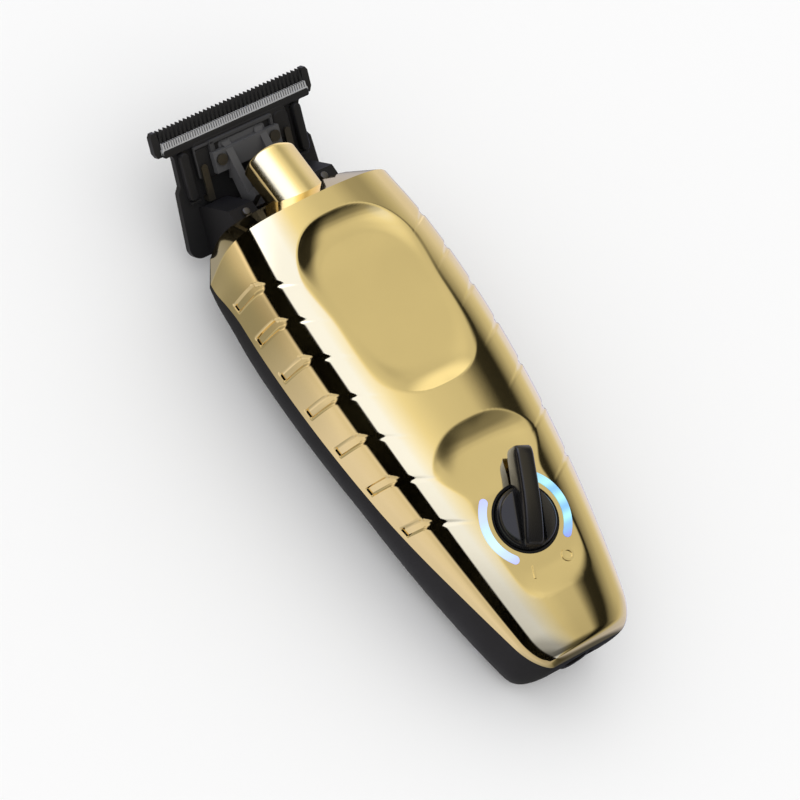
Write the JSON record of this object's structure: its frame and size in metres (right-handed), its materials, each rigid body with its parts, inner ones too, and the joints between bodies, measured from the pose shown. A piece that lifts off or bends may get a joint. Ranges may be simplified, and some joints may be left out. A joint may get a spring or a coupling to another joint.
{
  "type": "hair trimmer",
  "caption": "Cordless T-blade hair trimmer with a gold front housing, black back cover, rotary power dial and driven cutter.",
  "frame": {"origin": "on the resting face under the middle of the whole trimmer, blade included", "axes": "+Y runs along the body from the tail to the blade, +Z points out of the front face with the dial, +X is to the right seen from the front"},
  "size_m": [0.0476, 0.1446, 0.0345],
  "materials": {
    "gold": "polished mirror gold plating",
    "black_satin": "satin black",
    "black_plastic": "matte black",
    "dial_black": "fine satin black",
    "blade_black": "black diamond-like coating",
    "cutter_steel": "dark coated steel",
    "carrier_grey": "grey satin",
    "steel": "plain",
    "inner_plastic": "moulded",
    "rubber": "matte",
    "bronze": "plain",
    "copper": "enamelled wire",
    "ferrite": "ground",
    "pale_plastic": "moulded",
    "cell_wrap": "shrink wrap",
    "board_green": "solder mask",
    "chip_black": "moulded",
    "led": "clear resin",
    "light_cyan": "frosted light guide, lit",
    "lead_red": "insulation",
    "lead_black": "insulation"
  },
  "bodies": {
    "housing": {"front_housing": "gold", "back_cover": "black_satin", "seam_gasket": "rubber", "housing_screws": "steel", "screw_posts": "inner_plastic", "nose_cover": "gold", "head_plate": "black_plastic", "blade_mount": "black_plastic", "mount_screws": "steel", "fixed_blade": "blade_black", "blade_screws": "steel", "tension_spring": "cutter_steel", "cutter_guides": "blade_black", "motor_can": "steel", "motor_front_cap": "steel", "motor_rear_cap": "pale_plastic", "motor_bearings": "bronze", "motor_magnets": "ferrite", "motor_cradle": "inner_plastic", "battery_cell": "cell_wrap", "battery_tabs": "steel", "battery_cradle": "inner_plastic", "battery_pad": "rubber", "main_board": "board_green", "control_chips": "chip_black", "light_chips": "led", "light_guide_left": "light_cyan", "light_guide_right": "light_cyan", "switch_body": "inner_plastic", "dial_bushing": "bronze", "dial_seal": "rubber", "dial_bezel": "black_plastic", "dial_marks": "gold", "charging_socket": "black_plastic", "charging_pin": "bronze", "socket_bracket": "inner_plastic", "motor_leads": "lead_red", "battery_leads": "lead_black"},
    "cutter": {"cutter_blade": "cutter_steel", "cutter_carrier": "carrier_grey", "carrier_rivets": "steel"},
    "rotor": {"motor_shaft": "steel", "armature": "copper", "commutator": "bronze", "eccentric_hub": "bronze", "drive_pin": "steel"},
    "dial": {"power_dial": "dial_black", "dial_shaft": "steel", "dial_clip": "steel", "switch_rotor": "pale_plastic"}
  },
  "joints": [
    {"name": "dial_turn", "type": "hinge", "parent": "housing", "child": "dial", "pos_m": [0, -0.04335, 0.02733], "axis": [0, -0.1867, 0.9824], "range_deg": [0, 45]},
    {"name": "cutter_slide", "type": "slide", "parent": "housing", "child": "cutter", "axis": [1, 0, 0], "range_m": [-0.0012, 0.0012]},
    {"name": "rotor_spin", "type": "hinge", "parent": "housing", "child": "rotor", "pos_m": [0, 0.04465, 0.0167], "axis": [0, 1, 0], "continuous": true}
  ]
}
